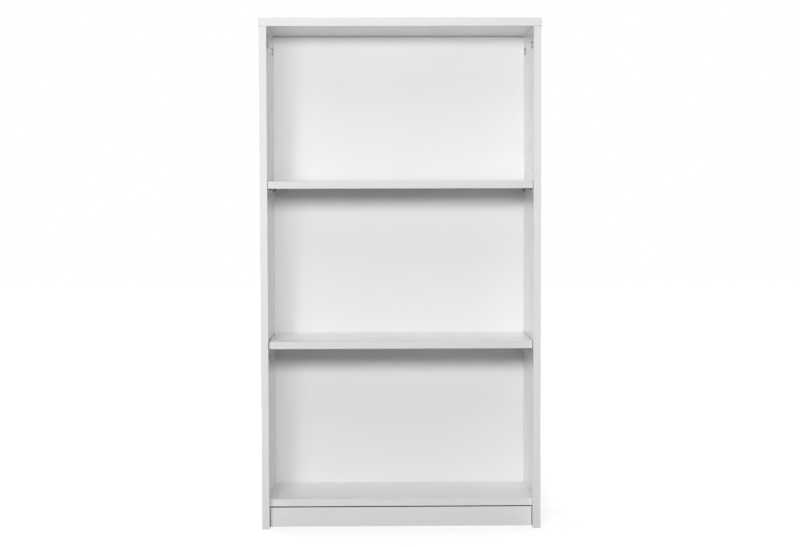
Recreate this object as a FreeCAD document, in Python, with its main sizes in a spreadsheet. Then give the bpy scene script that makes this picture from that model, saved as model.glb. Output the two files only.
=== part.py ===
import FreeCAD, Part
import os
import Sketcher

# A flat-pack bookcase in white melamine-faced chipboard: two sides, a top, a fixed
# bottom shelf over a kickboard, two loose shelves on pull-out pins and a nailed back.
# X runs left to right seen from the front, Y from front to back, Z up from the floor.
# The origin is on the floor, in the middle of the footprint. Lengths are in millimetres.

SIZES = [
    ("carcass_width", 600, "over the outer faces of the two side panels"),
    ("total_height", 1095, "floor to the top surface"),
    ("total_depth", 240, "front edges to the rear edge of the top"),
    ("board_thickness", 16, "sides, shelves and kickboard"),
    ("top_thickness", 18, "top board"),
    ("band_thickness", 1, "plastic edge band"),
    ("band_radius", 0.8, "rounding of the band's outer corners"),
    ("back_thickness", 3, "hardboard back"),
    ("back_cover", 1, "top board reaching behind the back"),
    ("back_margin", 2, "back panel in from the outer faces of the sides"),
    ("back_lap", 13, "back panel over the rear edge of the bottom shelf"),
    ("rebate_height", 9, "step in the top board that takes the back panel"),
    ("back_top_gap", 0.5, "back panel below the roof of the rebate"),
    ("kick_height", 42, "kickboard"),
    ("kick_gap", 2, "shadow gap between kickboard and bottom shelf"),
    ("kick_bevel", 1, "eased front corners at the kickboard's two ends"),
    ("plinth_recess", 30, "kickboard and bottom shelf behind the front edges"),
    ("shelf_depth", 221, "loose shelf with its edge band"),
    ("shelf_end_gap", 1, "loose shelf to each side panel"),
    ("shelf_rear_gap", 1, "pushed-back shelf to the back panel"),
    ("row_inset", 37, "rows of holes in from the front and rear edges"),
    ("pin_pitch", 32, "one shelf height to the next"),
    ("pin_levels", 3, "shelf heights in each group of holes"),
    ("pin_diameter", 5, "shelf-pin hole"),
    ("pin_fit", 0.05, "radial clearance of the pin in its hole"),
    ("pin_shank", 8, "length of the pin in the side panel"),
    ("pin_hole_spare", 1, "hole deeper than the pin"),
    ("pin_rise", 4, "pin's axis to the underside of the shelf"),
    ("pin_drop", 4.5, "pin's axis to the foot of its bracket"),
    ("bracket_width", 9, "bracket that carries the shelf"),
    ("bracket_reach", 10, "side panel to the bracket's free end"),
    ("bracket_thickness", 1.5, "bracket's upright and its plate"),
    ("bracket_corner", 1.5, "bevel at the free corners"),
    ("bracket_rib", 1.6, "gusset between upright and plate"),
    ("cam_diameter", 15, "bore for the cam"),
    ("cam_fit", 0.05, "radial clearance of the cam in its bore"),
    ("cam_inset", 37, "joint line to the cam's axis"),
    ("cam_recess", 0.2, "cam's face below the board's face"),
    ("cam_floor_gap", 0.2, "cam to the floor of its bore"),
    ("cam_foot", 4.2, "cam below the bolt's axis"),
    ("cam_cap", 4.4, "solid head of the cam over its claw"),
    ("claw_reach", 4.4, "cam axis to the claw where it grips"),
    ("claw_throw", 0.6, "how far the claw moves out over its half turn"),
    ("claw_slot", 4.6, "slot that the bolt's neck runs through"),
    ("claw_grip_angle", 50, "end of the slot past the gripped bolt, in degrees"),
    ("claw_back", 3.5, "cam axis to the open back that the bolt head enters by"),
    ("driver_length", 8, "cross recess in the cam's face"),
    ("driver_width", 1.5, "cross recess in the cam's face"),
    ("driver_depth", 2.5, "cross recess in the cam's face"),
    ("bolt_bore", 8, "hole along the board for the bolt"),
    ("bolt_grip_gap", 0.1, "bolt head to the closed claw"),
    ("bolt_head_diameter", 6, "ball end held by the claw"),
    ("bolt_head_length", 2.6, "ball end held by the claw"),
    ("bolt_neck_diameter", 3.9, "neck behind the head"),
    ("bolt_neck_length", 4.2, "neck behind the head"),
    ("thread_diameter", 5, "hole for the bolt's thread"),
    ("thread_length", 10.5, "bolt in the top board"),
    ("thread_fit", 0.05, "radial room round the thread"),
    ("hole_spare", 0.5, "blind hole deeper than what it holds"),
]

doc = FreeCAD.newDocument("Bookcase")
sheet = doc.addObject("Spreadsheet::Sheet", "Sizes")
for row, (alias, number, note) in enumerate(SIZES, start=1):
    sheet.set(f"A{row}", alias)
    sheet.set(f"B{row}", str(number))
    sheet.setAlias(f"B{row}", alias)
    sheet.set(f"C{row}", note)
doc.recompute()

# Lengths and places that follow from the sheet, as expressions in its own names.
FRONT = "(-Sizes.total_depth / 2)"
HALF_WIDTH = "(Sizes.carcass_width / 2)"
BOARD = "Sizes.board_thickness"
BAND = "Sizes.band_thickness"
MID_BOARD = "(Sizes.board_thickness / 2)"
SIDE_HEIGHT = "(Sizes.total_height - Sizes.top_thickness)"
SIDE_DEPTH = "(Sizes.total_depth - Sizes.back_cover - Sizes.back_thickness)"
INNER_WIDTH = "(Sizes.carcass_width - 2 * Sizes.board_thickness)"
BACK_FRONT = f"({FRONT} + {SIDE_DEPTH})"
FRONT_ROW = f"({FRONT} + Sizes.row_inset)"
REAR_ROW = f"({BACK_FRONT} - Sizes.row_inset)"
ROW_SPAN = f"({SIDE_DEPTH} - 2 * Sizes.row_inset)"
PLINTH_FRONT = f"({FRONT} + Sizes.plinth_recess)"
BOTTOM_DEPTH = f"({SIDE_DEPTH} - Sizes.plinth_recess)"
BOTTOM_UNDERSIDE = "(Sizes.kick_height + Sizes.kick_gap)"
CLEAR_HEIGHT = f"(({SIDE_HEIGHT} - {BOTTOM_UNDERSIDE} - 3 * {BOARD}) / 3)"
MIDDLE_UNDERSIDE = f"({BOTTOM_UNDERSIDE} + {BOARD} + {CLEAR_HEIGHT})"
SHELF_STEP = f"({BOARD} + {CLEAR_HEIGHT})"
UPPER_UNDERSIDE = f"({MIDDLE_UNDERSIDE} + {SHELF_STEP})"
MIDDLE_FRONT = f"({BACK_FRONT} - Sizes.shelf_rear_gap - Sizes.shelf_depth)"
PIN_HOLE_DEPTH = "(Sizes.pin_shank + Sizes.pin_hole_spare)"
GROUP_HALF = "(Sizes.pin_pitch * (Sizes.pin_levels - 1) / 2)"
LOWEST_PIN_HOLE = f"({MIDDLE_UNDERSIDE} - Sizes.pin_rise - {GROUP_HALF})"
CAM_HEIGHT = f"({MID_BOARD} - Sizes.cam_recess + Sizes.cam_foot)"
CAM_BORE_DEPTH = f"({CAM_HEIGHT} + Sizes.cam_recess + Sizes.cam_floor_gap)"
BOLT_BORE_DEPTH = "(Sizes.cam_inset - Sizes.cam_diameter / 2 + 2)"
THREAD_HOLE_DEPTH = "(Sizes.thread_length + Sizes.hole_spare)"

X_AXIS = FreeCAD.Vector(1, 0, 0)
Y_AXIS = FreeCAD.Vector(0, 1, 0)
Z_AXIS = FreeCAD.Vector(0, 0, 1)
NO_TURN = FreeCAD.Rotation()

sub_parts = []


def value(expression):
    return float(sheet.evalExpression(expression))


def axes(x_to, z_to):
    """The turn that lays a piece's own X and Z along two directions of the bookcase."""
    return FreeCAD.Rotation(x_to, z_to.cross(x_to), z_to, "ZXY")


def place(piece, x="0", y="0", z="0", turn=NO_TURN):
    piece.Placement = FreeCAD.Placement(FreeCAD.Vector(), turn)
    piece.setExpression("Placement.Base.x", x)
    piece.setExpression("Placement.Base.y", y)
    piece.setExpression("Placement.Base.z", z)


def new_sub_part(kind, name, *where, **turn):
    piece = doc.addObject(kind, name)
    piece.Label = name
    place(piece, *where, **turn)
    sub_parts.append(piece)
    return piece


def new_body(name, *where, **turn):
    return new_sub_part("PartDesign::Body", name, *where, **turn)


def new_box(name, length, width, height, *where):
    box = new_sub_part("Part::Box", name, *where)
    box.setExpression("Length", length)
    box.setExpression("Width", width)
    box.setExpression("Height", height)
    return box


def origin_part(body, role):
    return next(part for part in body.Origin.OriginFeatures if part.Role == role)


# ---- sketches -------------------------------------------------------------------

def new_sketch(body, name, plane, x="0", y="0", lift="0"):
    """A sketch on one of the body's own planes, its origin moved to x, y and lifted."""
    sketch = body.newObject("Sketcher::SketchObject", f"{body.Name}_{name}")
    sketch.AttachmentSupport = (origin_part(body, plane), [""])
    sketch.MapMode = "FlatFace"
    sketch.setExpression("AttachmentOffset.Base.x", x)
    sketch.setExpression("AttachmentOffset.Base.y", y)
    sketch.setExpression("AttachmentOffset.Base.z", lift)
    return sketch


def dimension(sketch, expression, kind, *where):
    index = sketch.addConstraint(Sketcher.Constraint(kind, *where, value(expression)))
    sketch.setExpression(f"Constraints[{index}]", expression)


def locate(sketch, geometry, point, x, y):
    dimension(sketch, x, "DistanceX", -1, 1, geometry, point)
    dimension(sketch, y, "DistanceY", -1, 1, geometry, point)


def draw_polygon(sketch, corners):
    points = [FreeCAD.Vector(value(x), value(y), 0) for x, y in corners]
    ends = points[1:] + points[:1]
    lines = [sketch.addGeometry(Part.LineSegment(a, b), False) for a, b in zip(points, ends)]
    for line, following in zip(lines, lines[1:] + lines[:1]):
        sketch.addConstraint(Sketcher.Constraint("Coincident", line, 2, following, 1))
    for line, (x, y) in zip(lines, corners):
        locate(sketch, line, 1, x, y)


def draw_rectangle(sketch, x0, y0, x1, y1):
    draw_polygon(sketch, [(x0, y0), (x1, y0), (x1, y1), (x0, y1)])


def draw_circle(sketch, x, y, diameter):
    centre = FreeCAD.Vector(value(x), value(y), 0)
    circle = Part.Circle(centre, Z_AXIS, value(diameter) / 2)
    geometry = sketch.addGeometry(circle, False)
    locate(sketch, geometry, 3, x, y)
    dimension(sketch, f"{diameter} / 2", "Radius", geometry)


# ---- features -------------------------------------------------------------------

def pad(body, sketch, length):
    feature = body.newObject("PartDesign::Pad", f"{sketch.Name}_pad")
    feature.Profile = sketch
    feature.setExpression("Length", length)
    doc.recompute()
    return feature


def pocket(body, sketch, depth, forward=False):
    """Cut against the sketch's normal, or along it when forward; it must remove material."""
    before = body.Shape.Volume
    feature = body.newObject("PartDesign::Pocket", f"{sketch.Name}_pocket")
    feature.Profile = sketch
    feature.Reversed = forward
    feature.setExpression("Length", depth)
    doc.recompute()
    if body.Shape.Volume > before - 0.1:
        raise ValueError(f"{sketch.Name} cuts nothing")
    return feature


def revolve(body, sketch):
    feature = body.newObject("PartDesign::Revolution", f"{sketch.Name}_turned")
    feature.Profile = sketch
    feature.ReferenceAxis = (sketch, ["V_Axis"])
    feature.Angle = 360
    doc.recompute()
    return feature


def row(body, name, axis, spacing, count="2"):
    """One direction of a pattern: count copies along an axis of the body."""
    pattern = doc.addObject("PartDesign::LinearPattern", f"{body.Name}_{name}")
    pattern.Direction = (origin_part(body, axis), [""])
    pattern.Mode = "Spacing"
    pattern.setExpression("Offset", spacing)
    pattern.setExpression("Occurrences", count)
    return pattern


def mirror(body, name):
    pattern = doc.addObject("PartDesign::Mirrored", f"{body.Name}_{name}")
    pattern.MirrorPlane = (origin_part(body, "YZ_Plane"), [""])
    return pattern


def repeat(body, name, features, *patterns):
    feature = body.newObject("PartDesign::MultiTransform", f"{body.Name}_{name}")
    feature.Originals = features
    feature.Transformations = list(patterns)
    body.Tip = feature
    doc.recompute()
    return feature


# ---- boards ---------------------------------------------------------------------

def side_panel(name, is_left):
    """Upright with its rows of shelf-pin holes and, near the top, the bores for its cams
    and for the bolts that the cams hold. Its own origin is at the foot of the front edge,
    behind the edge band, on the outer face of the left one and the inner face of the
    right one."""
    x = f"-{HALF_WIDTH}" if is_left else f"({HALF_WIDTH} - {BOARD})"
    body = new_body(name, x, f"{FRONT} + {BAND}")
    outline = new_sketch(body, "outline", "XY_Plane")
    draw_rectangle(outline, "0", "0", BOARD, f"{SIDE_DEPTH} - {BAND}")
    pad(body, outline, SIDE_HEIGHT)
    row_y = f"(Sizes.row_inset - {BAND})"

    def drill_face(label, z, diameter, depth):
        sketch = new_sketch(body, label, "YZ_Plane", lift=BOARD if is_left else "0")
        draw_circle(sketch, row_y, z, diameter)
        return pocket(body, sketch, depth, forward=not is_left)

    pin_hole = drill_face("pin_hole", LOWEST_PIN_HOLE, "Sizes.pin_diameter", PIN_HOLE_DEPTH)
    repeat(body, "pin_holes", [pin_hole],
           row(body, "levels", "Z_Axis", "Sizes.pin_pitch", "Sizes.pin_levels"),
           row(body, "groups", "Z_Axis", SHELF_STEP),
           row(body, "pin_rows", "Y_Axis", ROW_SPAN))
    cam_bore = drill_face("cam_bore", f"{SIDE_HEIGHT} - Sizes.cam_inset", "Sizes.cam_diameter",
                          CAM_BORE_DEPTH)
    end = new_sketch(body, "bolt_bore", "XY_Plane", lift=SIDE_HEIGHT)
    draw_circle(end, MID_BOARD, row_y, "Sizes.bolt_bore")
    bolt_bore = pocket(body, end, BOLT_BORE_DEPTH)
    repeat(body, "cam_bores", [cam_bore, bolt_bore], row(body, "cam_rows", "Y_Axis", ROW_SPAN))


def top_panel():
    """Board that lies on the two sides, with blind holes in its underside for the cam
    bolts and a rebate along its rear edge. Its own origin is at the middle of the
    underside's front edge."""
    body = new_body("top_panel", "0", f"{FRONT} + {BAND}", SIDE_HEIGHT)
    depth = f"(Sizes.total_depth - {BAND})"
    outline = new_sketch(body, "outline", "XY_Plane")
    draw_rectangle(outline, f"-{HALF_WIDTH}", "0", HALF_WIDTH, depth)
    pad(body, outline, "Sizes.top_thickness")
    rebate = new_sketch(body, "rebate", "YZ_Plane", lift=f"-{HALF_WIDTH}")
    draw_rectangle(rebate, f"{SIDE_DEPTH} - {BAND}", "0", depth, "Sizes.rebate_height")
    pocket(body, rebate, "Sizes.carcass_width", forward=True)
    hole = new_sketch(body, "bolt_hole", "XY_Plane")
    draw_circle(hole, f"{MID_BOARD} - {HALF_WIDTH}", f"Sizes.row_inset - {BAND}",
                "Sizes.thread_diameter")
    bolt_hole = pocket(body, hole, THREAD_HOLE_DEPTH, forward=True)
    repeat(body, "bolt_holes", [bolt_hole],
           row(body, "bolt_rows", "Y_Axis", ROW_SPAN), mirror(body, "bolt_ends"))


def bottom_shelf():
    """Fixed shelf between the sides, set back by the plinth recess, its rear edge level
    with the rear edges of the sides."""
    new_box("bottom_shelf", INNER_WIDTH, f"{BOTTOM_DEPTH} - {BAND}", BOARD,
            f"-{INNER_WIDTH} / 2", f"{PLINTH_FRONT} + {BAND}", BOTTOM_UNDERSIDE)


def kickboard():
    """Strip between the sides that closes the plinth under the bottom shelf's edge. The
    front corners of its ends are eased, which leaves a fine groove beside each side. Its
    own origin is at the foot of its left end, on the front face."""
    body = new_body("kickboard", f"-{INNER_WIDTH} / 2", PLINTH_FRONT)
    bevel = "Sizes.kick_bevel"
    outline = new_sketch(body, "outline", "XY_Plane")
    draw_polygon(outline, [(bevel, "0"), (f"{INNER_WIDTH} - {bevel}", "0"),
                           (INNER_WIDTH, bevel), (INNER_WIDTH, BOARD),
                           ("0", BOARD), ("0", bevel)])
    pad(body, outline, "Sizes.kick_height")


def back_panel():
    """Thin hardboard sheet laid on the rear edges of the sides and the bottom shelf, its
    upper edge in the rebate of the top."""
    width = "(Sizes.carcass_width - 2 * Sizes.back_margin)"
    bottom = f"({BOTTOM_UNDERSIDE} + {BOARD} - Sizes.back_lap)"
    top = f"({SIDE_HEIGHT} + Sizes.rebate_height - Sizes.back_top_gap)"
    new_box("back_panel", width, "Sizes.back_thickness", f"{top} - {bottom}",
            f"-{width} / 2", BACK_FRONT, bottom)


def loose_shelf(name, front, underside):
    """Plain board a little shorter than the space between the sides."""
    length = f"({INNER_WIDTH} - 2 * Sizes.shelf_end_gap)"
    new_box(name, length, f"Sizes.shelf_depth - {BAND}", BOARD,
            f"-{length} / 2", f"{front} + {BAND}", underside)
    edge_band(f"{name}_edge_band", BOARD, length,
              f"-{length} / 2", front, f"{underside} + {BOARD}", turn=axes(-Z_AXIS, X_AXIS))


# ---- edge bands -----------------------------------------------------------------

def edge_band(name, width, length, *where, **turn):
    """Plastic strip glued to a board's edge. Its own X runs across the edge, Z along it,
    and its outer face, with two rounded corners, lies at Y = 0."""
    body = new_body(name, *where, **turn)
    section = new_sketch(body, "section", "XY_Plane")
    draw_rectangle(section, "0", "0", width, BAND)
    strip = pad(body, section, length)
    fillet = body.newObject("PartDesign::Fillet", f"{name}_rounding")
    outer = []
    for number, edge in enumerate(strip.Shape.Edges, start=1):
        ends = [vertex.Point for vertex in edge.Vertexes]
        if all(abs(end.y) < 1e-6 for end in ends) and abs(ends[0].z - ends[1].z) > 1e-6:
            outer.append(f"Edge{number}")
    fillet.Base = (strip, outer)
    fillet.setExpression("Radius", "Sizes.band_radius")
    doc.recompute()


def carcass_bands():
    edge_band("left_side_edge_band", BOARD, SIDE_HEIGHT, f"-{HALF_WIDTH}", FRONT)
    edge_band("right_side_edge_band", BOARD, SIDE_HEIGHT, f"{HALF_WIDTH} - {BOARD}", FRONT)
    edge_band("bottom_shelf_edge_band", BOARD, INNER_WIDTH, f"-{INNER_WIDTH} / 2",
              PLINTH_FRONT, f"{BOTTOM_UNDERSIDE} + {BOARD}", turn=axes(-Z_AXIS, X_AXIS))
    banded_width = f"(Sizes.carcass_width + 2 * {BAND})"
    edge_band("top_front_edge_band", "Sizes.top_thickness", banded_width,
              f"-{banded_width} / 2", FRONT, "Sizes.total_height", turn=axes(-Z_AXIS, X_AXIS))
    end_length = f"(Sizes.total_depth - {BAND})"
    edge_band("top_left_edge_band", "Sizes.top_thickness", end_length,
              f"-{banded_width} / 2", f"{FRONT} + {BAND}", SIDE_HEIGHT,
              turn=axes(Z_AXIS, Y_AXIS))
    edge_band("top_right_edge_band", "Sizes.top_thickness", end_length,
              f"{banded_width} / 2", f"{FRONT} + {BAND}", "Sizes.total_height",
              turn=axes(-Z_AXIS, Y_AXIS))


# ---- cam locks ------------------------------------------------------------------

def cam(name, x, y, z, face):
    """Drum that turns in its bore and draws the bolt in. Its own Z points out of the
    board's face and its X up to the bolt. Under a solid cap the drum is hollow, and the
    hollow is off the drum's axis, so its wall, the claw, comes closer to the axis from
    the open back to the place where it grips. Turning the drum anticlockwise by half a
    turn brings the open back round to the bolt."""
    body = new_body(name, x, y, z, turn=axes(Z_AXIS, face))
    drum_radius = "(Sizes.cam_diameter / 2 - Sizes.cam_fit)"
    face_z = "(-Sizes.cam_recess)"
    foot_z = f"({face_z} - {CAM_HEIGHT})"
    claw_height = f"({CAM_HEIGHT} - Sizes.cam_cap)"
    drum = new_sketch(body, "drum", "XY_Plane", lift=foot_z)
    draw_circle(drum, "0", "0", f"(2 * {drum_radius})")
    pad(body, drum, CAM_HEIGHT)

    hollow = new_sketch(body, "hollow", "XY_Plane", lift=foot_z)
    draw_circle(hollow, "-Sizes.claw_throw", "0", "(2 * (Sizes.claw_reach + Sizes.claw_throw))")
    pocket(body, hollow, claw_height, forward=True)

    back = new_sketch(body, "back", "XY_Plane", lift=foot_z)
    reach = "Sizes.cam_diameter"
    draw_rectangle(back, f"-{reach}", f"-{reach}", "-Sizes.claw_back", reach)
    pocket(body, back, claw_height, forward=True)

    slot = new_sketch(body, "slot", "XY_Plane", lift=f"Sizes.claw_slot / 2 - {MID_BOARD}")
    draw_polygon(slot, [("0", "0"), (f"-{reach}", "0"), (f"-{reach}", f"-{reach}"),
                        (reach, f"-{reach}"),
                        (reach, f"{reach} * tan(Sizes.claw_grip_angle * 1 deg)")])
    pocket(body, slot, "Sizes.claw_slot")

    recess = new_sketch(body, "recess", "XY_Plane", lift=face_z)
    half = "(Sizes.driver_length / 2)"
    thin = "(Sizes.driver_width / 2)"
    draw_polygon(recess, [(thin, half), (f"-{thin}", half), (f"-{thin}", thin),
                          (f"-{half}", thin), (f"-{half}", f"-{thin}"),
                          (f"-{thin}", f"-{thin}"), (f"-{thin}", f"-{half}"),
                          (thin, f"-{half}"), (thin, f"-{thin}"), (half, f"-{thin}"),
                          (half, thin), (thin, thin)])
    pocket(body, recess, "Sizes.driver_depth")


def top_cams():
    height = f"{SIDE_HEIGHT} - Sizes.cam_inset"
    for side, x, face in (("left", f"-{INNER_WIDTH} / 2", X_AXIS),
                          ("right", f"{INNER_WIDTH} / 2", -X_AXIS)):
        cam(f"top_{side}_front_cam", x, FRONT_ROW, height, face)
        cam(f"top_{side}_rear_cam", x, REAR_ROW, height, face)


def top_cam_bolts():
    """Four bolts screwed up into the top, each in one turned piece: the joint line is at
    the sketch's zero, the thread above it and the ball end below, where a closed claw
    holds it. Their own origin is at the height of the joint."""
    body = new_body("top_cam_bolts", "0", "0", SIDE_HEIGHT)
    section = new_sketch(body, "section", "XZ_Plane", x=f"{MID_BOARD} - {HALF_WIDTH}",
                         lift=f"-{FRONT_ROW}")
    head = "(Sizes.bolt_head_diameter / 2)"
    neck = "(Sizes.bolt_neck_diameter / 2)"
    shank = "(Sizes.thread_diameter / 2 - Sizes.thread_fit)"
    shoulder = "(Sizes.claw_reach - Sizes.bolt_grip_gap - Sizes.cam_inset)"
    head_end = f"({shoulder} - Sizes.bolt_head_length)"
    neck_end = f"({shoulder} + Sizes.bolt_neck_length)"
    draw_polygon(section, [
        ("0", head_end), (head, head_end), (head, f"{shoulder} - ({head} - {neck}) / 2"),
        (neck, shoulder), (neck, neck_end), (shank, f"{neck_end} + {shank} - {neck}"),
        (shank, "Sizes.thread_length"), ("0", "Sizes.thread_length")])
    repeat(body, "copies", [revolve(body, section)],
           row(body, "rows", "Y_Axis", ROW_SPAN), mirror(body, "sides"))


# ---- shelf pins -----------------------------------------------------------------

def shelf_pin(name, x, y, z, out):
    """Steel pin with an angled bracket and a gusset. Its own X points out of the hole and
    its origin is where the hole's axis meets the side's face, on which the bracket's
    upright stops. The shelf lies on the bracket's plate."""
    body = new_body(name, x, y, z, turn=axes(out, Z_AXIS))
    thick = "Sizes.bracket_thickness"
    half = "(Sizes.bracket_width / 2)"
    bevel = "Sizes.bracket_corner"
    reach = "Sizes.bracket_reach"
    under_plate = f"(Sizes.pin_rise - {thick})"

    upright = new_sketch(body, "upright", "YZ_Plane")
    draw_polygon(upright, [(half, "Sizes.pin_rise"), (f"-{half}", "Sizes.pin_rise"),
                           (f"-{half}", f"{bevel} - Sizes.pin_drop"),
                           (f"{bevel} - {half}", "-Sizes.pin_drop"),
                           (f"{half} - {bevel}", "-Sizes.pin_drop"),
                           (half, f"{bevel} - Sizes.pin_drop")])
    pad(body, upright, thick)
    plate = new_sketch(body, "plate", "XY_Plane", lift=under_plate)
    draw_polygon(plate, [("0", f"-{half}"), (f"{reach} - {bevel}", f"-{half}"),
                         (reach, f"{bevel} - {half}"), (reach, f"{half} - {bevel}"),
                         (f"{reach} - {bevel}", half), ("0", half)])
    pad(body, plate, thick)
    gusset = new_sketch(body, "gusset", "XZ_Plane", lift="-Sizes.bracket_rib / 2")
    draw_polygon(gusset, [(thick, f"{bevel} - Sizes.pin_drop"),
                          (f"{reach} - {bevel}", under_plate), (thick, under_plate)])
    pad(body, gusset, "Sizes.bracket_rib")
    shank = new_sketch(body, "shank", "YZ_Plane", lift="-Sizes.pin_shank")
    draw_circle(shank, "0", "0", "(Sizes.pin_diameter - 2 * Sizes.pin_fit)")
    pad(body, shank, f"Sizes.pin_shank + {thick} / 2")


def shelf_pins():
    for shelf, underside in (("upper", UPPER_UNDERSIDE), ("middle", MIDDLE_UNDERSIDE)):
        height = f"{underside} - Sizes.pin_rise"
        for side, x, out in (("left", f"-{INNER_WIDTH} / 2", X_AXIS),
                             ("right", f"{INNER_WIDTH} / 2", -X_AXIS)):
            shelf_pin(f"{shelf}_{side}_front_pin", x, FRONT_ROW, height, out)
            shelf_pin(f"{shelf}_{side}_rear_pin", x, REAR_ROW, height, out)


side_panel("left_side_panel", is_left=True)
side_panel("right_side_panel", is_left=False)
top_panel()
bottom_shelf()
kickboard()
back_panel()
carcass_bands()
loose_shelf("upper_shelf", FRONT, UPPER_UNDERSIDE)
loose_shelf("middle_shelf", MIDDLE_FRONT, MIDDLE_UNDERSIDE)
top_cams()
top_cam_bolts()
shelf_pins()
doc.recompute()

for item in doc.Objects:
    if "Invalid" in item.State or "Error" in item.State:
        raise ValueError(f"{item.Label} did not build: {item.State}")
for piece in sub_parts:
    if piece.Shape.isNull() or not piece.Shape.isValid():
        raise ValueError(f"{piece.Label} has no valid shape")

os.makedirs("parts", exist_ok=True)
for piece in sub_parts:
    piece.Shape.exportStep(f"parts/{piece.Label}.step")
    solids = len(piece.Shape.Solids)
    print(f"{piece.Label}: {solids} solid(s), {piece.Shape.Volume:.1f} mm3")
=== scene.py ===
from math import cos, pi, sin

import bmesh
import bpy
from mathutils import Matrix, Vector


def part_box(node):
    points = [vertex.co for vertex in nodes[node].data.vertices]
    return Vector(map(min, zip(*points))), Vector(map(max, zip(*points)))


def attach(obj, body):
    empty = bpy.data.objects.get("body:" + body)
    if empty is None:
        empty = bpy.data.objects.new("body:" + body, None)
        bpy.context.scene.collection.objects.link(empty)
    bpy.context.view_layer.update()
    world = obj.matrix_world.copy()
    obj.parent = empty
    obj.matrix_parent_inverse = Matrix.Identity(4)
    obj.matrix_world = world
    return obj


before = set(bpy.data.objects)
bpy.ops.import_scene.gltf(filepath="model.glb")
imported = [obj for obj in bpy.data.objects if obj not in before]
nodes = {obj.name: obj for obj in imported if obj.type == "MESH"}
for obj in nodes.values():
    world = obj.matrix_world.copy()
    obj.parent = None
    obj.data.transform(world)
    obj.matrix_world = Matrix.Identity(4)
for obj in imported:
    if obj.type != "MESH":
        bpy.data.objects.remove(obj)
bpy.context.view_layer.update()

# ---------------------------------------------------------------------------------------------
# The boards: two sides, the top, the bottom shelf, the kickboard and two loose shelves.
# Chipboard with white melamine paper pressed on both faces; a face of the top or a loose shelf that looks
# down is painted greyer, as shade.
# An edge without a band shows the raw chips; the kickboard's are painted dark grey, as shade in the gap
# under the bottom shelf.
# ---------------------------------------------------------------------------------------------


class Wire:
    """One output of a finish; plain arithmetic on it adds Math nodes."""

    def __init__(self, finish, socket):
        self.finish = finish
        self.socket = socket

    def math(self, operation, *values):
        return self.finish.node("ShaderNodeMath", {"operation": operation}, dict(enumerate(values)))

    def __add__(self, other):
        return self.math("ADD", self, other)

    def __radd__(self, other):
        return self.math("ADD", other, self)

    def __sub__(self, other):
        return self.math("SUBTRACT", self, other)

    def __rsub__(self, other):
        return self.math("SUBTRACT", other, self)

    def __mul__(self, other):
        return self.math("MULTIPLY", self, other)

    def __rmul__(self, other):
        return self.math("MULTIPLY", other, self)

    def __truediv__(self, other):
        return self.math("DIVIDE", self, other)

    def __rtruediv__(self, other):
        return self.math("DIVIDE", other, self)

    def __abs__(self):
        return self.math("ABSOLUTE", self)

    def __gt__(self, other):
        return self.math("GREATER_THAN", self, other)

    def __lt__(self, other):
        return self.math("LESS_THAN", self, other)

    def sine(self):
        return self.math("SINE", self)

    def either(self, other):
        """1 where this or the other is 1."""
        return self.math("MAXIMUM", self, other)


class Finish:
    """A surface made of nodes: the look of one kind of piece, or of the studio's surround."""

    def __init__(self, owner):
        self.owner = owner
        owner.use_nodes = True
        self.tree = owner.node_tree
        self.tree.nodes.clear()

    def node(self, kind, settings, sockets, output=0):
        """Add a node: its settings first, then the values or links of its sockets."""
        made = self.tree.nodes.new(kind)
        for name, value in settings.items():
            if name == "stops":
                elements = made.color_ramp.elements
                while len(elements) < len(value):
                    elements.new(0.5)
                for element, (place, colour) in zip(elements, value):
                    element.position = place
                    element.color = colour
            else:
                setattr(made, name, value)
        for name, value in sockets.items():
            if isinstance(value, Wire):
                self.tree.links.new(value.socket, made.inputs[name])
            else:
                made.inputs[name].default_value = value
        return Wire(self, made.outputs[output]) if output is not None else None

    def place(self):
        """Where the point is in the bookcase, in metres."""
        return self.node("ShaderNodeTexCoord", {}, {}, "Object")

    def along(self, axis):
        return self.node("ShaderNodeSeparateXYZ", {}, {"Vector": self.place()}, "XYZ"[axis])

    def stretched(self, stretch, shift=(0, 0, 0)):
        """The place with each axis made finer by its stretch, for grain that has a direction."""
        settings = {"vector_type": "POINT"}
        sockets = {"Vector": self.place(), "Location": shift, "Scale": stretch}
        return self.node("ShaderNodeMapping", settings, sockets)

    def noise(self, place, scale, detail=2.0, roughness=0.5):
        sockets = {"Vector": place, "Scale": scale, "Detail": detail, "Roughness": roughness}
        return self.node("ShaderNodeTexNoise", {}, sockets, "Fac")

    def blend(self, factor, first, second):
        """A colour that goes from the first to the second as the factor goes from 0 to 1."""
        sockets = {0: factor, 6: first, 7: second}
        return self.node("ShaderNodeMix", {"data_type": "RGBA"}, sockets, 2)

    def blend_relief(self, factor, first, second):
        """The same for two bumps."""
        sockets = {0: factor, 4: first, 5: second}
        return self.node("ShaderNodeMix", {"data_type": "VECTOR"}, sockets, 1)

    def bump(self, height, depth, strength):
        """A relief of the given depth in metres."""
        sockets = {"Height": height, "Distance": depth, "Strength": strength}
        return self.node("ShaderNodeBump", {}, sockets, "Normal")

    def surface(self, **sockets):
        """Make the skin itself, from its sockets' names in small letters."""
        named = {name.replace("_", " ").title(): value for name, value in sockets.items()}
        shader = self.node("ShaderNodeBsdfPrincipled", {}, named, "BSDF")
        self.node("ShaderNodeOutputMaterial", {}, {"Surface": shader}, None)


def new_finish(name):
    return Finish(bpy.data.materials.new(name))


def shade(red, green, blue):
    """A colour from its screen values, 0 to 255."""
    linear = [((v / 255 + 0.055) / 1.055) ** 2.4 for v in (red, green, blue)]
    return (*linear, 1.0)


MELAMINE = shade(231, 231, 231)
MELAMINE_COOL = shade(229, 229, 230)
UNDERSIDE_SHADE_PAINT = shade(214, 214, 214)
SHADED_UNDERSIDE_BOARDS = ("top_panel", "upper_shelf", "middle_shelf")
KICK_WHITE = shade(217, 217, 217)
KICK_COOL = shade(215, 215, 216)
KICK_EDGE_PAINTED_SHADE = shade(70, 70, 70)
PAPER = 0.0001
PAPER_GRAIN = 0.00003
SHEET_STEP = (1.7, 0.9, 2.3)

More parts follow.
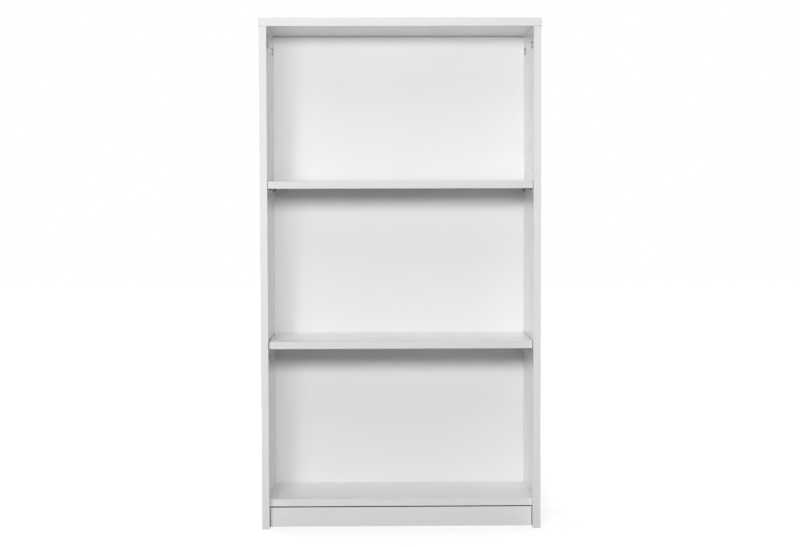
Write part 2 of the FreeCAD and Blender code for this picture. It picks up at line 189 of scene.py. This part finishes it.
CORE_SHARE = 0.62
COARSE_CHIP = 0.0042
FINE_CHIP = 0.0014
CHIP_FLATNESS = 3.5
CHIP_DEPTH = 0.0003
CHIP_TONES = (
    (0.00, shade(150, 112, 72)),
    (0.25, shade(186, 148, 102)),
    (0.55, shade(205, 171, 125)),
    (0.80, shade(219, 190, 147)),
    (1.00, shade(231, 209, 172)),
)
PIT = shade(96, 70, 45)
PIT_LIMIT = 0.39
PIT_COVER = 0.6


def chips(finish, across, size, shift):
    """Flat wood chips of a given size, lying along the board: their tone and their relief."""
    flat = [1 / size] * 3
    flat[across] = CHIP_FLATNESS / size
    cells = {"Vector": finish.stretched(flat, shift), "Scale": 1.0, "Randomness": 1.0}
    tone = finish.node("ShaderNodeTexVoronoi", {"feature": "F1"}, cells, "Color")
    relief = finish.node("ShaderNodeTexVoronoi", {"feature": "F1"}, cells, "Distance")
    return finish.node("ShaderNodeSeparateColor", {}, {"Color": tone}, "Red"), relief


def sawn_edge(finish, across, from_middle, shift):
    """Coarse chips in the board's core and fine ones outside it: their tone and their relief."""
    coarse_tone, coarse_relief = chips(finish, across, COARSE_CHIP, shift)
    fine_tone, fine_relief = chips(finish, across, FINE_CHIP, shift)
    core = from_middle < CORE_SHARE
    tone = coarse_tone * core + fine_tone * (1 - core)
    relief = coarse_relief * core + fine_relief * (1 - core)
    return tone, relief


def raw_wood(finish, tone):
    """The chips' own colours, with dark pits where small ones broke out."""
    wood = finish.node("ShaderNodeValToRGB", {"stops": CHIP_TONES}, {"Fac": tone})
    pits = finish.noise(finish.place(), scale=420.0, detail=3.0, roughness=0.65) < PIT_LIMIT
    return finish.blend(pits * PIT_COVER, wood, PIT)


def thinnest_axis(size):
    return min(range(3), key=lambda axis: size[axis])


def board_finish(name, number):
    """White melamine on a board's two faces and chipboard on whatever lies between."""
    finish = new_finish("board_" + name)
    lo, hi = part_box(name)
    size = hi - lo
    across = thinnest_axis(size)
    half = size[across] / 2
    from_middle = abs(finish.along(across) - (lo[across] + half)) / half
    paper = from_middle > 1 - PAPER / half
    shift = tuple(step * number for step in SHEET_STEP)

    broad = finish.noise(finish.stretched((1, 1, 1), shift), scale=3.5)
    grain = finish.noise(finish.place(), scale=1400.0)
    smudge = finish.noise(finish.stretched((1, 1, 0.4), shift), scale=14.0, detail=3.0)
    tone, relief = sawn_edge(finish, across, from_middle, shift)
    if name == "kickboard":
        white = finish.blend(broad, KICK_WHITE, KICK_COOL)
        # Painted shade: the kickboard's raw edges are dark grey so the gap above it reads dark.
        edge = KICK_EDGE_PAINTED_SHADE
    else:
        white = finish.blend(broad, MELAMINE, MELAMINE_COOL)
        edge = raw_wood(finish, tone)
    # Painted shade: the face that looks down gets a greyer white.
    if name in SHADED_UNDERSIDE_BOARDS:
        white = finish.blend(finish.along(2) < lo.z + PAPER, white, UNDERSIDE_SHADE_PAINT)

    smooth = finish.bump(grain, PAPER_GRAIN, strength=0.35)
    rough = finish.bump(relief, CHIP_DEPTH, strength=0.6)
    finish.surface(
        base_color=finish.blend(paper, edge, white),
        roughness=paper * (0.14 + smudge * 0.05) + (1 - paper) * 0.86,
        normal=finish.blend_relief(paper, rough, smooth),
    )
    return finish


def dress(name, finish):
    """Put a finish on a piece that keeps its shape."""
    for holder in nodes[name].material_slots:
        holder.material = finish.owner


BOARDS = (
    "left_side_panel",
    "right_side_panel",
    "top_panel",
    "bottom_shelf",
    "kickboard",
    "upper_shelf",
    "middle_shelf",
)
for number, name in enumerate(BOARDS):
    dress(name, board_finish(name, number))

# ---------------------------------------------------------------------------------------------
# The edge bands: 1 mm plastic strip, glued on each board's front edge and on the ends of the
# top, trimmed flush and rounded over. The glue shows as a hairline where the strip meets the
# board, and the upper end of each side's strip is painted dark under the top, as shadow.
# ---------------------------------------------------------------------------------------------

BAND = shade(214, 214, 214)
BAND_MARK = shade(211, 211, 211)
SHELF_BAND = shade(206, 206, 208)
SHELF_BAND_MARK = shade(203, 203, 205)
MARK_COVER = 0.6
STREAKS_ACROSS = 260.0
STREAKS_ALONG = 9.0
STREAK_DEPTH = 0.00002
GLUE = shade(188, 182, 168)
GLUE_COVER = 0.7
GLUE_LINE = 0.00008
BAND_END = 0.0005
BAND_END_SHADE = shade(128, 128, 128)


def band_finish(name, plain, marked):
    """Extruded plastic with fine streaks along the strip and a gloss rubbed by hands."""
    finish = new_finish("band_" + name)
    lo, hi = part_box(name)
    size = hi - lo
    across = thinnest_axis(size)
    long = max(range(3), key=lambda axis: size[axis])
    outward = -1 if (lo + hi)[across] < 0 else 1
    joint = hi[across] if outward < 0 else lo[across]
    glue = (finish.along(across) - joint) * outward < GLUE_LINE
    stretch = [STREAKS_ACROSS] * 3
    stretch[long] = STREAKS_ALONG
    streak = finish.noise(finish.stretched(stretch), scale=1.0, detail=3.0)
    rub = finish.noise(finish.place(), scale=38.0, detail=4.0, roughness=0.6)
    colour = finish.blend(streak * MARK_COVER, plain, marked)
    colour = finish.blend(glue * GLUE_COVER, colour, GLUE)
    # Painted shadow: a dark line at the upper end of each side's strip, where the top shades it.
    if "_side_" in name:
        colour = finish.blend(finish.along(2) > hi.z - BAND_END, colour, BAND_END_SHADE)
    finish.surface(
        base_color=colour,
        roughness=0.54 + rub * 0.12,
        normal=finish.bump(streak, STREAK_DEPTH, strength=0.5),
    )
    return finish


for name in sorted(nodes):
    if name in ("upper_shelf_edge_band", "middle_shelf_edge_band"):
        dress(name, band_finish(name, SHELF_BAND, SHELF_BAND_MARK))
    elif name.endswith("_edge_band"):
        dress(name, band_finish(name, BAND, BAND_MARK))

# ---------------------------------------------------------------------------------------------
# The back: 3 mm hardboard with a smooth white lacquered face towards the shelves, nailed on; a
# hairline of painted shade darkens the lacquer just under the top. The rear face and the cut edges
# are bare brown fibre with the mark of the fine screen that the board was pressed on.
# ---------------------------------------------------------------------------------------------

LACQUER = shade(220, 220, 220)
LACQUER_COOL = shade(218, 218, 219)
LACQUER_DEPTH = 0.00002
CREASE = 0.0016
CREASE_SHADE = shade(150, 150, 150)
FIBRE_DARK = shade(112, 79, 51)
FIBRE_LIGHT = shade(156, 118, 81)
FIBRE_RISE = 1.4
SCREEN_PITCH = 0.0016
SCREEN_DEPTH = 0.00006

back = new_finish("hardboard")
back_low, back_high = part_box("back_panel")
lacquered = back.along(1) < back_low.y + PAPER / 2
# Painted shade: a dark hairline on the lacquer just under the top, in the crease.
under_top_shaded = back.along(2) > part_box("left_side_panel")[1].z - CREASE
even = back.noise(back.place(), scale=5.0)
lacquer = back.blend(under_top_shaded, back.blend(even, LACQUER, LACQUER_COOL), CREASE_SHADE)
fibre = back.noise(back.place(), scale=700.0, detail=5.0, roughness=0.7)
cloud = back.noise(back.place(), scale=26.0, detail=4.0, roughness=0.6)
brown = back.blend(fibre * 0.65 + cloud * 0.35, FIBRE_DARK, FIBRE_LIGHT)
weft = (back.along(0) * (2 * pi / SCREEN_PITCH)).sine()
warp = (back.along(2) * (2 * pi / SCREEN_PITCH)).sine()
lacquer_skin = back.bump(back.noise(back.place(), scale=500.0), LACQUER_DEPTH, strength=0.25)
bare_skin = back.bump(weft * warp + fibre * FIBRE_RISE, SCREEN_DEPTH, strength=0.6)
back.surface(
    base_color=back.blend(lacquered, brown, lacquer),
    roughness=lacquered * (0.52 + even * 0.06) + (1 - lacquered) * 0.78,
    normal=back.blend_relief(lacquered, bare_skin, lacquer_skin),
)
dress("back_panel", back)

# ---------------------------------------------------------------------------------------------
# The nails that hold the back: bright steel pins with a low domed head, hammered flat on the
# hardboard, 9 up each side and 3 between those along the top and along the bottom.
# ---------------------------------------------------------------------------------------------

NAILS_UP = 9
NAILS_BETWEEN = 3
NAIL_EDGE = 0.0055
NAIL_SINK = 0.0004
NAIL_SIDES = 20
NAIL_PROFILE = (
    (0.0, 0.0007),
    (0.0007, 0.00068),
    (0.00136, 0.00059),
    (0.00176, 0.00043),
    (0.00194, 0.00028),
    (0.002, 0.00013),
    (0.002, -NAIL_SINK),
    (0.0, -NAIL_SINK),
)
SCUFF_DEPTH = 0.00004
SHARP = pi / 5

steel = new_finish("nail_steel")
scuff = steel.noise(steel.place(), scale=900.0, detail=3.0)
steel.surface(
    base_color=steel.blend(scuff, shade(170, 170, 168), shade(205, 205, 203)),
    metallic=1.0,
    roughness=0.28 + scuff * 0.2,
    normal=steel.bump(scuff, SCUFF_DEPTH, strength=0.5),
)


def new_object(name, data):
    """An object for a mesh, a light or a camera, linked to the scene."""
    made = bpy.data.objects.new(name, data)
    bpy.context.scene.collection.objects.link(made)
    return made


def turned(name, place, outward, profile, sides):
    """A closed round piece, from the radius and rise of each corner of its section."""
    across = outward.orthogonal().normalized()
    upward = outward.cross(across)
    shape = bmesh.new()
    rings = []
    for radius, rise in profile:
        ring = []
        for side in range(sides if radius else 1):
            turn = 2 * pi * side / sides
            spoke = across * cos(turn) + upward * sin(turn)
            ring.append(shape.verts.new(place + outward * rise + spoke * radius))
        rings.append(ring)
    for ring, after in zip(rings, rings[1:] + rings[:1]):
        if len(ring) == len(after) == 1:
            continue
        for side in range(sides):
            corners = [ring[side % len(ring)], ring[(side + 1) % len(ring)]]
            corners += [after[(side + 1) % len(after)], after[side % len(after)]]
            shape.faces.new(list(dict.fromkeys(corners)))
    bmesh.ops.recalc_face_normals(shape, faces=shape.faces)
    mesh = bpy.data.meshes.new(name)
    shape.to_mesh(mesh)
    shape.free()
    mesh.polygons.foreach_set("use_smooth", [True] * len(mesh.polygons))
    mesh.set_sharp_from_angle(angle=SHARP)
    return new_object(name, mesh)


def nail_head(name, x, z):
    """A domed head with its underside just inside the hardboard."""
    piece = turned(name, Vector((x, back_high.y, z)), Vector((0, 1, 0)), NAIL_PROFILE, NAIL_SIDES)
    piece.data.materials.append(steel.owner)
    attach(piece, "carcass")


nail_left, nail_right = back_low.x + NAIL_EDGE, back_high.x - NAIL_EDGE
nail_bottom, nail_top = back_low.z + NAIL_EDGE, back_high.z - NAIL_EDGE
for step in range(NAILS_UP):
    height = nail_bottom + (nail_top - nail_bottom) * step / (NAILS_UP - 1)
    nail_head(f"nail_left_{step + 1}", nail_left, height)
    nail_head(f"nail_right_{step + 1}", nail_right, height)
for step in range(1, NAILS_BETWEEN + 1):
    reach = nail_left + (nail_right - nail_left) * step / (NAILS_BETWEEN + 1)
    nail_head(f"nail_bottom_{step}", reach, nail_bottom)
    nail_head(f"nail_top_{step}", reach, nail_top)

# ---------------------------------------------------------------------------------------------
# The cam locks under the top: a die-cast zinc drum in each side, tumbled grey, that hooks a
# zinc-plated bolt screwed up into the top board. A thin rim on the drum covers the edge of its
# bore and turns with it.
# ---------------------------------------------------------------------------------------------

CAST_DEPTH = 0.00008
PLATING_DEPTH = 0.00004
RIM_SIDES = 48
RIM_PROFILE = (
    (0.0060, -0.0003),
    (0.0060, 0.0009),
    (0.0065, 0.0014),
    (0.0078, 0.0015),
    (0.0083, 0.0013),
    (0.0087, 0.0008),
    (0.0087, 0.0003),
    (0.0072, 0.0003),
    (0.0072, -0.0003),
)

cast = new_finish("tumbled_zinc")
tumble = cast.noise(cast.place(), scale=1100.0, detail=4.0, roughness=0.65)
dull = cast.noise(cast.place(), scale=210.0, detail=3.0)
cast.surface(
    base_color=cast.blend(dull, shade(150, 150, 151), shade(176, 176, 177)),
    metallic=1.0,
    roughness=0.38 + tumble * 0.20,
    normal=cast.bump(tumble, CAST_DEPTH, strength=0.6),
)
plated = new_finish("zinc_plated_bolt")
plating = plated.noise(plated.place(), scale=800.0, detail=3.0)
plated.surface(
    base_color=plated.blend(plating, shade(188, 189, 184), shade(214, 214, 208)),
    metallic=1.0,
    roughness=0.24 + plating * 0.16,
    normal=plated.bump(plating, PLATING_DEPTH, strength=0.4),
)
dress("top_cam_bolts", plated)

side_faces = {1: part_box("left_side_panel")[1].x, -1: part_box("right_side_panel")[0].x}
for name in sorted(nodes):
    if name.endswith("_cam"):
        dress(name, cast)
        lo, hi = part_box(name)
        inward = 1 if hi.x < 0 else -1
        place = Vector((side_faces[inward], (lo.y + hi.y) / 2, (lo.z + hi.z) / 2))
        rim = turned(name + "_rim", place, Vector((inward, 0, 0)), RIM_PROFILE, RIM_SIDES)
        rim.data.materials.append(cast.owner)
        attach(rim, name)

# ---------------------------------------------------------------------------------------------
# The shelf pins: a pressed bracket with a stub that pushes into the side, nickel-plated steel,
# two to each end of a shelf.
# ---------------------------------------------------------------------------------------------

PRESS_DEPTH = 0.00004

nickel = new_finish("nickel_plate")
press = nickel.noise(nickel.place(), scale=620.0, detail=3.0)
nickel.surface(
    base_color=nickel.blend(press, shade(118, 117, 115), shade(150, 149, 146)),
    metallic=1.0,
    roughness=0.46 + press * 0.14,
    normal=nickel.bump(press, PRESS_DEPTH, strength=0.35),
)
for name in sorted(nodes):
    if name.endswith("_pin"):
        dress(name, nickel)

# ---------------------------------------------------------------------------------------------
# The studio: a plain pale floor under a white surround. Two soft lamps stand in front, level
# with the top, and a narrow upright one stands high up at the left. Two more light the rear,
# weak ones light the ends and the top, and the camera stands in front of the bookcase.
# ---------------------------------------------------------------------------------------------

FLOOR = shade(152, 152, 152)
FLOOR_MOTTLE = shade(150, 150, 150)
FLOOR_REACH = 9.0
GLOW_NEAR = 0.71
GLOW_START = 0.35
GLOW_FULL = 1.6
WHITE = (1, 1, 1, 1)
BLACK = (0, 0, 0, 1)


def seen_directly(finish):
    """1 for the camera and for mirror-like rays, 0 for the light that falls on the bookcase."""
    camera_ray = finish.node("ShaderNodeLightPath", {}, {}, "Is Camera Ray")
    mirrored_ray = finish.node("ShaderNodeLightPath", {}, {}, "Is Glossy Ray")
    passing_ray = finish.node("ShaderNodeLightPath", {}, {}, "Is Transmission Ray")
    return camera_ray.either(mirrored_ray).either(passing_ray)


ground = new_finish("studio_floor")
mottle = ground.noise(ground.place(), scale=2.0)
ground_skin = ground.node(
    "ShaderNodeBsdfPrincipled",
    {},
    {
        "Base Color": ground.blend(mottle, FLOOR, FLOOR_MOTTLE),
        "Roughness": 0.9,
        "Specular IOR Level": 0.1,
    },
    "BSDF",
)
distance = ground.node("ShaderNodeVectorMath", {"operation": "LENGTH"}, {0: ground.place()}, "Value")
away = ground.node(
    "ShaderNodeMapRange",
    {"interpolation_type": "SMOOTHSTEP"},
    {"Value": distance, "From Min": GLOW_START, "From Max": GLOW_FULL, "To Min": GLOW_NEAR, "To Max": 1.0},
)
glow = ground.node("ShaderNodeEmission", {}, {"Color": WHITE, "Strength": 1.0})
unlit = ground.node("ShaderNodeEmission", {}, {"Color": BLACK, "Strength": 1.0})
ground_glow = ground.node("ShaderNodeMixShader", {}, {0: seen_directly(ground) * away, 1: unlit, 2: glow})
ground_sum = ground.node("ShaderNodeAddShader", {}, {0: ground_skin, 1: ground_glow})
ground.node("ShaderNodeOutputMaterial", {}, {"Surface": ground_sum}, None)

floor_mesh = bpy.data.meshes.new("studio_floor")
corners = [(-FLOOR_REACH, -FLOOR_REACH, 0), (FLOOR_REACH, -FLOOR_REACH, 0)]
corners += [(FLOOR_REACH, FLOOR_REACH, 0), (-FLOOR_REACH, FLOOR_REACH, 0)]
floor_mesh.from_pydata(corners, [], [(0, 1, 2, 3)])
floor_mesh.materials.append(ground.owner)
floor = new_object("studio_floor", floor_mesh)

AMBIENT = 0.02

surround = Finish(bpy.data.worlds.new("studio_surround"))
bright = surround.node("ShaderNodeBackground", {}, {"Color": WHITE, "Strength": 1.0})
dim = surround.node("ShaderNodeBackground", {}, {"Color": WHITE, "Strength": AMBIENT})
both = surround.node("ShaderNodeMixShader", {}, {0: seen_directly(surround), 1: dim, 2: bright})
surround.node("ShaderNodeOutputWorld", {}, {"Surface": both}, None)
bpy.context.scene.world = surround.owner

MIDDLE = (0.0, 0.0, 0.55)
REAR = (0.0, 0.1, 0.5)
LEFT_END = (-0.3, 0.0, 0.55)
RIGHT_END = (0.3, 0.0, 0.55)
TOP = (0.0, 0.1, 1.0)
OPEN = pi
GRID = pi / 3


def lamp(name, place, target, width, height, power, spread=OPEN):
    """A soft box that faces the target, with a grid in front of it where spread is small."""
    light = bpy.data.lights.new(name, "AREA")
    light.shape = "RECTANGLE"
    light.size = width
    light.size_y = height
    light.energy = power
    light.spread = spread
    holder = new_object(name, light)
    holder.location = place
    holder.rotation_euler = (Vector(target) - Vector(place)).to_track_quat("-Z", "Y").to_euler()


lamp("key_lamp", (-0.15, -2.85, 1.15), MIDDLE, width=0.35, height=0.45, power=45.0)
lamp("left_lamp", (-0.75, -2.85, 1.13), MIDDLE, width=0.75, height=0.3, power=22.0)
lamp("high_lamp", (-0.8, -2.8, 3.2), MIDDLE, width=0.2, height=1.5, power=23.5)
lamp("rear_left_lamp", (-2.6, 2.2, 0.75), REAR, width=1.2, height=0.6, power=56.0)
lamp("rear_right_lamp", (2.6, 2.0, 0.75), REAR, width=1.2, height=0.6, power=46.0)
lamp("left_side_lamp", (-2.8, 0.25, 1.3), LEFT_END, width=1.0, height=1.2, power=3.2, spread=GRID)
lamp("right_side_lamp", (2.8, 0.25, 1.3), RIGHT_END, width=1.0, height=1.2, power=3.2, spread=GRID)
lamp("overhead_lamp", (0.0, 0.1, 3.2), TOP, width=1.0, height=0.6, power=4.0, spread=GRID)

FILM_WIDTH = 36.0
FOCAL_LENGTH = 72.585
EYE = (-0.0505, -3.5632, 0.72816)
LOOK_DOWN = 0.051328
LEAN = 0.0027292
LOOK_RIGHT = 0.014303

camera = new_object("camera", bpy.data.cameras.new("camera"))
camera.data.sensor_width = FILM_WIDTH
camera.data.lens = FOCAL_LENGTH
camera.location = EYE
camera.rotation_euler = (pi / 2 - LOOK_DOWN, LEAN, -LOOK_RIGHT)
bpy.context.scene.camera = camera
bpy.context.scene.view_settings.view_transform = "Standard"
